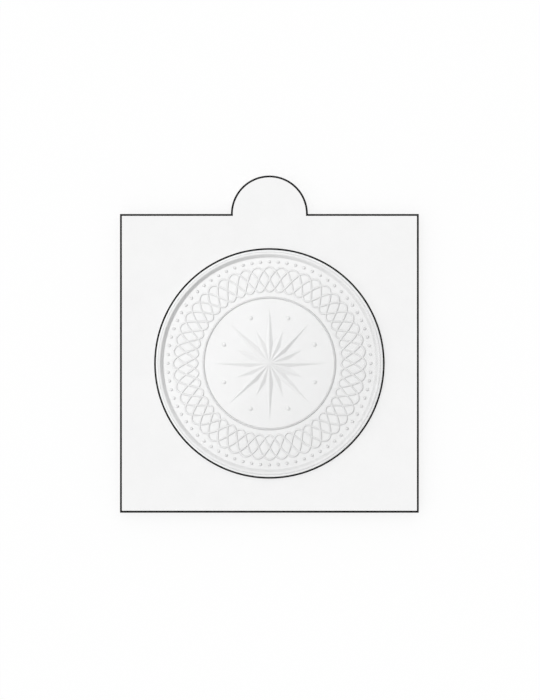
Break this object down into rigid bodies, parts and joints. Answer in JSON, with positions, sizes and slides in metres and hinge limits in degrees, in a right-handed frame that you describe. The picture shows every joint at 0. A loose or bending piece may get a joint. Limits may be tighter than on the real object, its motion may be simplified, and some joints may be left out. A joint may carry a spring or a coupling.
{
  "type": "staple coin holder",
  "caption": "Square folded card holder with a round film window in each panel and a half-round lift tab, which shuts like a book round a loose coin.",
  "frame": {"origin": "on the windows' axis, on the plane that the holder lies on, at the flat underside of the back film", "axes": "+Z out of the front panel, +Y from the fold to the tab, +X along the fold"},
  "size_m": [0.0428, 0.0483, 0.0024],
  "materials": {
    "card": "matt white board",
    "film": "clear polyester film",
    "bond": "milky adhesive",
    "silver": "frosted silver"
  },
  "bodies": {
    "back_half": {"back_panel": "card", "back_film_bond": "bond", "back_film_skirt": "film", "back_film_face": "film", "fold_strip": "card"},
    "front_half": {"front_panel": "card", "front_film_bond": "bond", "front_film_skirt": "film", "front_film_face": "film"},
    "loose_coin": {"coin": "silver"}
  },
  "joints": [
    {"name": "cover_fold", "type": "hinge", "parent": "back_half", "child": "front_half", "pos_m": [0, -0.02135, 0.0012], "axis": [1, 0, 0], "range_deg": [0, 180], "deforming": ["fold_strip"]},
    {"name": "coin_turn", "type": "hinge", "parent": "back_half", "child": "loose_coin", "pos_m": [0, 0, 0.0012], "axis": [0, 0, 1], "continuous": true}
  ]
}
